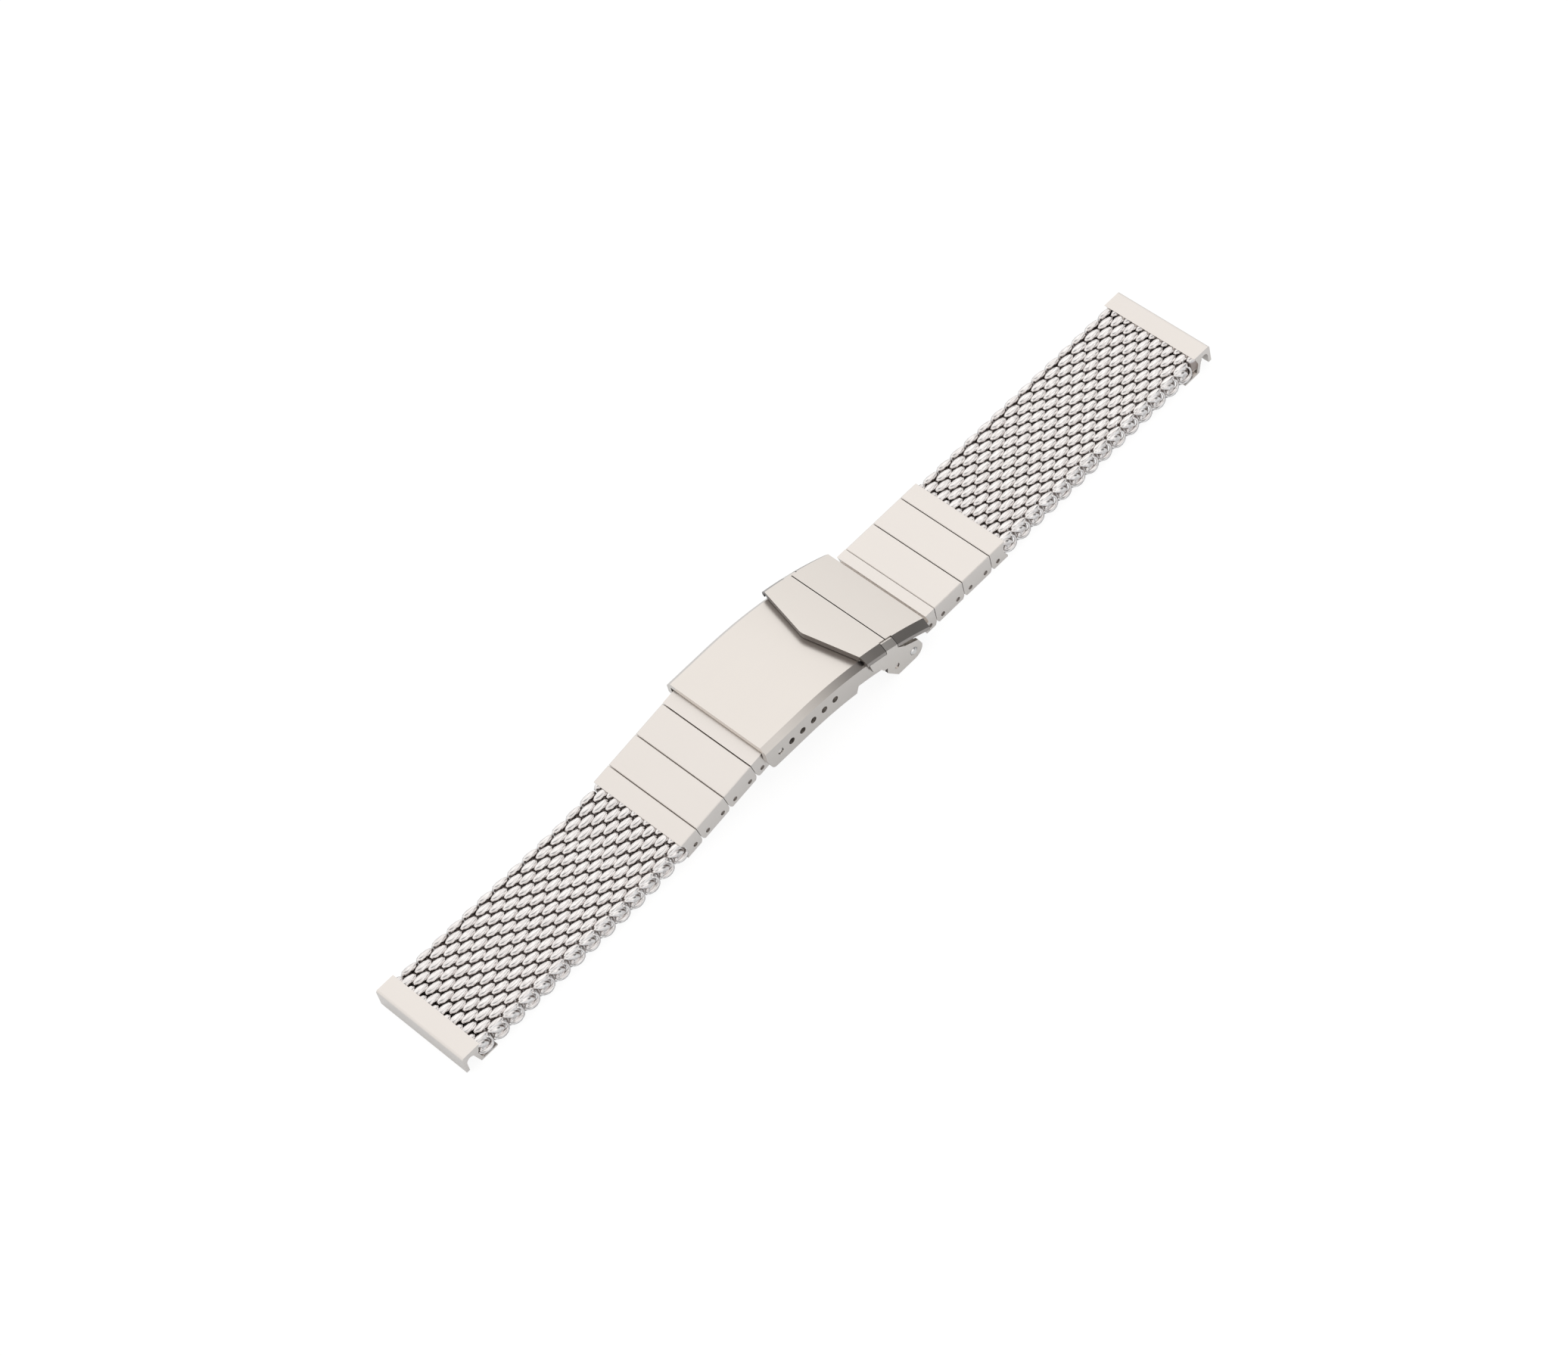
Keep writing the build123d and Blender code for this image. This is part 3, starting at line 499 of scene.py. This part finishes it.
def near_template(weave, name):
    """The last turn at the near side: a grain, the coil's curled end below it and the wire's cut end."""
    top = weave.turn_height / 2
    waist, rim, _, crest = NEAR_RINGS
    above = grain(weave, (crest, rim, waist), NEAR_RINGS)
    points, faces = gather([
        above,
        strand(CURL, CURL_SIDES, CURL_FLATNESS, CURL_LEAN),
        strand(OUTER, OUTER_SIDES, OUTER_FLATNESS, OUTER_LEAN),
        wire_end(),
    ])
    depths = [min(top - abs(p[2]), p[1] + NEAR_FACE) for p in points]
    depths[-1] = DARK
    # Painted shade in the slot round the thick curl's lower end
    curl = len(above[0]) * GRAIN_SIDES + 2
    stops = 2 * len(CURL) - 1
    for ring in range(SLOT_FROM_RING, stops):
        start = curl + CURL_SIDES * ring
        depths[start] = DARK
        depths[start + CURL_SIDES - 1] = HALF_DARK
        if ring >= stops - SLOT_END_RINGS:
            depths[start + CURL_SIDES // 2] = DARK
    depths[curl + CURL_SIDES * stops + 1] = DARK
    return shell_object(name, points, faces, depths)


def far_template(weave, name):
    """The last turn at the far side: a full grain that covers the coil's curled end."""
    top = weave.turn_height / 2
    waist, rim, _, crest = FAR_RINGS
    above = grain(weave, (crest, rim, waist), FAR_RINGS)
    curled = [(x, y + FAR_INSET, z, radius) for x, y, z, radius in OUTER[1:]]
    points, faces = gather([above, strand(curled, OUTER_SIDES)])
    return shell_object(name, points, faces, [min(top - abs(p[2]), p[1] + FAR_FACE) for p in points])


def carried(tree, name):
    """A number that each coil's point carries."""
    return tree.node("GeometryNodeInputNamedAttribute", {"Name": name}, data_type="FLOAT").outputs["Attribute"]


def logic(tree, operation, *terms):
    """Joins or turns round true and false."""
    return tree.node("FunctionNodeBooleanMath", dict(enumerate(terms)), operation=operation).outputs[0]


def turn_spots(tree, given):
    """Points for the turns: a row across the band at each coil, every other one moved by half a turn."""
    row_length = tree.math("MULTIPLY", tree.math("SUBTRACT", given["Turns"], 0.5), given["Turn Pitch"])
    start = tree.node("ShaderNodeCombineXYZ", {"Y": tree.math("MULTIPLY", row_length, -0.5)}).outputs[0]
    step = tree.node("ShaderNodeCombineXYZ", {"Y": given["Turn Pitch"]}).outputs[0]
    line = {"Count": given["Turns"], "Start Location": start, "Offset": step}
    row = tree.node("GeometryNodeMeshLine", line, mode="OFFSET").outputs["Mesh"]
    rows = tree.node("GeometryNodeInstanceOnPoints", {"Points": given["Geometry"], "Instance": row})
    spots = tree.node("GeometryNodeRealizeInstances", {"Geometry": rows.outputs["Instances"]})
    aside = tree.node("ShaderNodeCombineXYZ", {"Y": carried(tree, "shift")}).outputs[0]
    moved = {"Geometry": spots.outputs["Geometry"], "Offset": aside}
    return tree.node("GeometryNodeSetPosition", moved).outputs["Geometry"]


def weave_tree(material):
    """Geometry nodes that set a row of turns on every coil point, with edge turns at both ends."""
    group = bpy.data.node_groups.new("Woven Coils", "GeometryNodeTree")
    face = group.interface
    face.new_socket("Geometry", in_out="INPUT", socket_type="NodeSocketGeometry")
    for label, kind in (
        ("Turn", "NodeSocketObject"),
        ("Near Turn", "NodeSocketObject"),
        ("Far Turn", "NodeSocketObject"),
        ("Turns", "NodeSocketInt"),
        ("Turn Pitch", "NodeSocketFloat"),
        ("Edge From", "NodeSocketFloat"),
        ("Twist", "NodeSocketFloat"),
        ("Seed", "NodeSocketInt"),
    ):
        face.new_socket(label, in_out="INPUT", socket_type=kind)
    face.new_socket("Finish", in_out="INPUT", socket_type="NodeSocketMaterial").default_value = material
    face.new_socket("Geometry", in_out="OUTPUT", socket_type="NodeSocketGeometry")
    tree = Tree(group)
    given = tree.node("NodeGroupInput").outputs
    spots = turn_spots(tree, given)

    # Turns beyond Edge From are edge turns, apart from those of coils tucked into a jaw
    across = tree.parts(tree.node("GeometryNodeInputPosition").outputs[0])["Y"]
    outwards = tree.math("SUBTRACT", tree.math("ABSOLUTE", across), carried(tree, "tucked"))
    beyond = {0: outwards, 1: given["Edge From"]}
    at_edge = tree.node(
        "FunctionNodeCompare", beyond, data_type="FLOAT", operation="GREATER_THAN"
    ).outputs[0]
    on_far_half = tree.math("GREATER_THAN", across, 0.0)
    on_near_half = tree.math("LESS_THAN", across, 0.0)

    # Each turn follows its coil's slope with a small twist, and a far edge turn is turned half round
    slope = carried(tree, "slope")
    twists = {2: tree.math("MULTIPLY", given["Twist"], -1.0), 3: given["Twist"], "Seed": given["Seed"]}
    twist = tree.node("FunctionNodeRandomValue", twists, data_type="FLOAT").outputs[1]
    half_turn = tree.math("MULTIPLY", on_far_half, math.pi)
    turned = tree.node("ShaderNodeCombineXYZ", {"Y": slope, "Z": twist}).outputs[0]
    edge_slope = tree.math("MULTIPLY", slope, tree.math("COSINE", half_turn))
    edge_twist = tree.math("ADD", twist, half_turn)
    edge_turned = tree.node("ShaderNodeCombineXYZ", {"Y": edge_slope, "Z": edge_twist}).outputs[0]

    joined = tree.node("GeometryNodeJoinGeometry")
    for label, chosen, turn in (
        ("Near Turn", logic(tree, "AND", at_edge, on_near_half), turned),
        ("Far Turn", logic(tree, "AND", at_edge, on_far_half), edge_turned),
        ("Turn", logic(tree, "NOT", at_edge), turned),
    ):
        form = tree.node("GeometryNodeObjectInfo", {"Object": given[label]}).outputs["Geometry"]
        placed = {"Points": spots, "Selection": chosen, "Instance": form, "Rotation": turn}
        copies = tree.node("GeometryNodeInstanceOnPoints", placed)
        tree.link(copies.outputs["Instances"], joined.inputs["Geometry"])
    real = tree.node("GeometryNodeRealizeInstances", {"Geometry": joined.outputs["Geometry"]})
    finish = {"Geometry": real.outputs["Geometry"], "Material": given["Finish"]}
    finished = tree.node("GeometryNodeSetMaterial", finish).outputs["Geometry"]
    tree.link(finished, tree.node("NodeGroupOutput").inputs["Geometry"])
    return group


def coil_places(weave, side, joints):
    """Centre and slope of every coil of one mesh and of one more tucked into each jaw, outwards from its link."""
    pitch = weave.coil_pitch * MM
    count = weave.left_coils if side == "left" else weave.right_coils
    out = -1 if side == "left" else 1
    angle = weave.slope if side == "left" else 0.0
    border = Vector(joints[side + "_mesh_flex_1"]["pos_m"])
    places = []
    for k in range(-1, count + 1):
        run = (k + 0.5 - weave.coils_per_group) * pitch
        slope = angle if run < 0 else 0.0
        centre = border + run * Vector((out * math.cos(slope), 0, -math.sin(slope)))
        places.append((centre, -slope))
    return places


def weave_group(name, body, node, places, first, tucked, group, forms, weave):
    """One rigid group of coils as a plain mesh that stands for its solid; tucked coils have no edge turns."""
    points = bpy.data.meshes.new(name)
    points.from_pydata([p for p, _ in places], [], [])
    slopes = points.attributes.new("slope", "FLOAT", "POINT")
    shifts = points.attributes.new("shift", "FLOAT", "POINT")
    inner = points.attributes.new("tucked", "FLOAT", "POINT")
    for k, (_, slope) in enumerate(places):
        slopes.data[k].value = slope
        shifts.data[k].value = ((first + k) % 2) * weave.turn_pitch * MM / 2
        inner.data[k].value = 1.0 if first + k in tucked else 0.0
    carrier = bpy.data.objects.new(name + "_points", points)
    bpy.context.scene.collection.objects.link(carrier)
    modifier = carrier.modifiers.new("Weave", "NODES")
    modifier.node_group = group
    values = dict(zip(("Turn", "Near Turn", "Far Turn"), forms))
    values["Turns"] = weave.turns
    values["Turn Pitch"] = weave.turn_pitch * MM
    values["Edge From"] = weave.edge_from * MM
    values["Twist"] = weave.twist
    values["Seed"] = first + SEED_STEP * len(name)
    for socket in group.interface.items_tree:
        if socket.in_out == "INPUT" and socket.name in values:
            modifier[socket.identifier] = values[socket.name]
    bpy.context.view_layer.update()
    graph = bpy.context.evaluated_depsgraph_get()
    data = bpy.data.meshes.new_from_object(carrier.evaluated_get(graph))
    data.name = name
    bpy.data.objects.remove(carrier)
    piece = bpy.data.objects.new(name, data)
    bpy.context.scene.collection.objects.link(piece)
    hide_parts(node)
    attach(piece, body)


class BAND_OT_weave(bpy.types.Operator):
    """Weaves both meshes, one piece for each rigid group of coils"""

    bl_idname = "band.weave"
    bl_label = "Weave Mesh"

    def execute(self, context):
        weave = context.scene.band_weave
        joints = {j["name"]: j for j in frame["joints"]}
        group = weave_tree(woven_steel("woven_steel", context.scene.band_steel))
        forms = [
            turn_template(weave, "turn_form"),
            near_template(weave, "near_form"),
            far_template(weave, "far_form"),
        ]
        for side in ("left", "right"):
            places = coil_places(weave, side, joints)
            count = len(places) - 2
            tucked = (-1, count)
            starts = list(range(0, count, weave.coils_per_group))
            for number, start in enumerate(reversed(starts), 1):
                node = "%s_mesh_%d" % (side, number)
                name = "%s_coils_%d" % (side, number)
                body = frame["nodes"][node]["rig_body"]
                # The first and the last group take the tucked coil beside them
                first = start or -1
                after = count + 1 if start == starts[-1] else start + weave.coils_per_group
                chosen = places[first + 1:after + 1]
                weave_group(name, body, node, chosen, first, tucked, group, forms, weave)
        for form in forms:
            bpy.data.objects.remove(form)
        return {"FINISHED"}


class BAND_OT_steel(bpy.types.Operator):
    """Gives the links, the clasp and its pins their steel finishes"""

    bl_idname = "band.steel"
    bl_label = "Finish Steel"

    def execute(self, context):
        steel = context.scene.band_steel
        names = set(frame["nodes"])
        woven = {n for n in names if "_mesh_" in n and not n.endswith("link")}
        folded = {"cover", "lock_frame", "lock_front_plate", "lock_rear_plate"}
        blades = {n for n in names if n.endswith("blade")}
        joint_pins = {n for n in names if "connector_pins" in n}
        turned = {n for n in names if n.startswith("spring") or n.endswith(("_pin", "_pivots"))}
        satin = names - woven - folded - blades - joint_pins - turned
        # Name, nodes, colour, roughness, brushing, relief and painted edge shade of each finish
        for name, nodes, tint, roughness, brushing, strength, edges in (
            ("satin_steel", satin, steel.link_tint, 0.32, BRUSHED_ACROSS, 0.10, None),
            ("cover_steel", {"cover"}, steel.folded_tint, 0.31, BRUSHED_ALONG, 0.06, cover_shoulder_shade),
            ("frame_steel", {"lock_frame"}, steel.folded_tint, 0.31, BRUSHED_ALONG, 0.06, leading_edge_shade),
            ("plate_steel", {n for n in folded if n.endswith("plate")},
             steel.folded_tint, 0.31, BRUSHED_ALONG, 0.06, plate_edge_shade),
            ("blade_steel", blades, steel.blade_tint, 0.30, BLADE_BRUSHED, 0.12, None),
            ("pin_steel", joint_pins, steel.pin_tint, 0.2, UNBRUSHED, 0.04, pin_end_shade),
            ("turned_steel", turned, steel.turned_tint, 0.16, UNBRUSHED, 0.04, None),
        ):
            finish = satin_steel(name, tint, roughness, brushing, strength, edges)
            for node in nodes:
                slots = frame["nodes"][node].data.materials
                slots.clear()
                slots.append(finish)
        return {"FINISHED"}


def studio_world():
    """White backdrop for the camera, and a soft bright room with two dimmer sides for the steel."""
    world = bpy.data.worlds.new("Studio")
    bpy.context.scene.world = world
    world.use_nodes = True
    world.node_tree.nodes.clear()
    tree = Tree(world.node_tree)
    place = tree.node("ShaderNodeTexCoord").outputs["Generated"]

    def towards(direction):
        return tree.node("ShaderNodeVectorMath", {0: place, 1: direction}, operation="DOT_PRODUCT").outputs["Value"]

    # Bright all over, but greyer near the horizon, dark low on the right and dimmer where the viewer stands
    level = tree.math(
        "MULTIPLY",
        tree.ramp(tree.parts(place)["Z"], -0.05, 0.2, low=0.8, high=1.0, kind="SMOOTHSTEP"),
        tree.ramp(towards(LOWER_RIGHT), 0.86, 0.99, low=1.0, high=0.12, kind="SMOOTHSTEP"),
    )
    viewer = tree.ramp(towards(TOWARDS_VIEWER), 0.90, 0.98, low=1.0, high=0.4, kind="SMOOTHSTEP")
    level = tree.math("MULTIPLY", level, viewer)
    colour = tree.blend(level, (0.97, 0.975, 0.98, 1.0), (1.0, 0.985, 0.97, 1.0))
    room = tree.node("ShaderNodeBackground", {"Color": colour, "Strength": level})
    white = tree.node("ShaderNodeBackground", {"Color": (1.0, 1.0, 1.0, 1.0), "Strength": 1.0})
    seen = tree.node("ShaderNodeLightPath").outputs["Is Camera Ray"]
    mix = tree.node("ShaderNodeMixShader", {"Fac": seen, 1: room.outputs[0], 2: white.outputs[0]})
    tree.link(mix.outputs[0], tree.node("ShaderNodeOutputWorld").inputs["Surface"])


def floor_material(tint):
    """A white table top that shows only a faint shadow to the camera, and a grey one in the steel's reflections."""
    material, tree, shader = new_material("table_top")
    seen = tree.node("ShaderNodeLightPath").outputs["Is Camera Ray"]
    colour = tree.blend(seen, (*tint, 1.0), FLOOR_SEEN)
    tree.link(colour, shader.inputs["Base Color"])
    shader.inputs["Roughness"].default_value = 0.9
    shader.inputs["Specular IOR Level"].default_value = 0.0
    shader.inputs["Emission Color"].default_value = (1.0, 1.0, 1.0, 1.0)
    glow = tree.math("MULTIPLY_ADD", seen, FLOOR_GLOW_SEEN, FLOOR_GLOW)
    tree.link(glow, shader.inputs["Emission Strength"])
    return material


def lay_floor(stage):
    """A plain square floor just under the band."""
    half = stage.floor_size / 2
    corners = [(-half, -half, 0), (half, -half, 0), (half, half, 0), (-half, half, 0)]
    data = bpy.data.meshes.new("floor")
    data.from_pydata(corners, [], [(0, 1, 2, 3)])
    floor = bpy.data.objects.new("floor", data)
    floor.location.z = -FLOOR_DROP
    data.materials.append(floor_material(stage.floor_tint))
    bpy.context.scene.collection.objects.link(floor)


def hang_light(stage):
    """A large soft light above and behind the band, aimed at it."""
    lamp = bpy.data.lights.new("key", "AREA")
    lamp.shape = "RECTANGLE"
    lamp.size, lamp.size_y = KEY_SIZE
    lamp.energy = stage.key_power
    lamp.color = stage.key_tint
    holder = bpy.data.objects.new("key", lamp)
    holder.location = KEY_PLACE
    holder.rotation_euler = (-Vector(KEY_PLACE)).to_track_quat("-Z", "Y").to_euler()
    bpy.context.scene.collection.objects.link(holder)


def set_camera(stage):
    """The camera of the photograph."""
    camera = bpy.data.cameras.new("camera")
    camera.sensor_width = SENSOR_WIDTH
    camera.lens = stage.lens
    camera.clip_start = CLIP_START
    holder = bpy.data.objects.new("camera", camera)
    right, down, ahead = Vector(VIEW_RIGHT), Vector(VIEW_DOWN), Vector(VIEW_AHEAD)
    turn = Matrix((right, -down, -ahead)).transposed()
    place = -(right * ORIGIN_RIGHT + down * ORIGIN_DOWN + ahead * stage.camera_distance)
    holder.matrix_world = Matrix.Translation(place) @ turn.to_4x4()
    bpy.context.scene.collection.objects.link(holder)
    bpy.context.scene.camera = holder


class BAND_OT_stage(bpy.types.Operator):
    """Sets the floor, the light and the camera of the photograph"""

    bl_idname = "band.stage"
    bl_label = "Set Stage"

    def execute(self, context):
        stage = context.scene.band_stage
        lay_floor(stage)
        studio_world()
        hang_light(stage)
        set_camera(stage)
        context.scene.view_settings.view_transform = "Standard"
        return {"FINISHED"}


class BAND_PT_panel(bpy.types.Panel):
    """Buttons and settings of the band"""

    bl_idname = "BAND_PT_panel"
    bl_label = "Woven Steel Band"
    bl_space_type = "VIEW_3D"
    bl_region_type = "UI"
    bl_category = "Band"

    def draw(self, context):
        layout = self.layout
        scene = context.scene
        for settings in (scene.band_weave, scene.band_steel, scene.band_stage):
            box = layout.box()
            for key in type(settings).__annotations__:
                box.prop(settings, key)
        for name in ("band.weave", "band.steel", "band.stage"):
            layout.operator(name)


CLASSES = (
    WeaveSettings,
    SteelSettings,
    StageSettings,
    BAND_OT_weave,
    BAND_OT_steel,
    BAND_OT_stage,
    BAND_PT_panel,
)


def register():
    for cls in CLASSES:
        bpy.utils.register_class(cls)
    bpy.types.Scene.band_weave = bpy.props.PointerProperty(type=WeaveSettings)
    bpy.types.Scene.band_steel = bpy.props.PointerProperty(type=SteelSettings)
    bpy.types.Scene.band_stage = bpy.props.PointerProperty(type=StageSettings)


def unregister():
    del bpy.types.Scene.band_weave
    del bpy.types.Scene.band_steel
    del bpy.types.Scene.band_stage
    for cls in reversed(CLASSES):
        bpy.utils.unregister_class(cls)


def main():
    """Builds the whole scene."""
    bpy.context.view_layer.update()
    register()
    bpy.ops.band.stage()
    bpy.ops.band.steel()
    bpy.ops.band.weave()


if __name__ == "__main__":
    main()
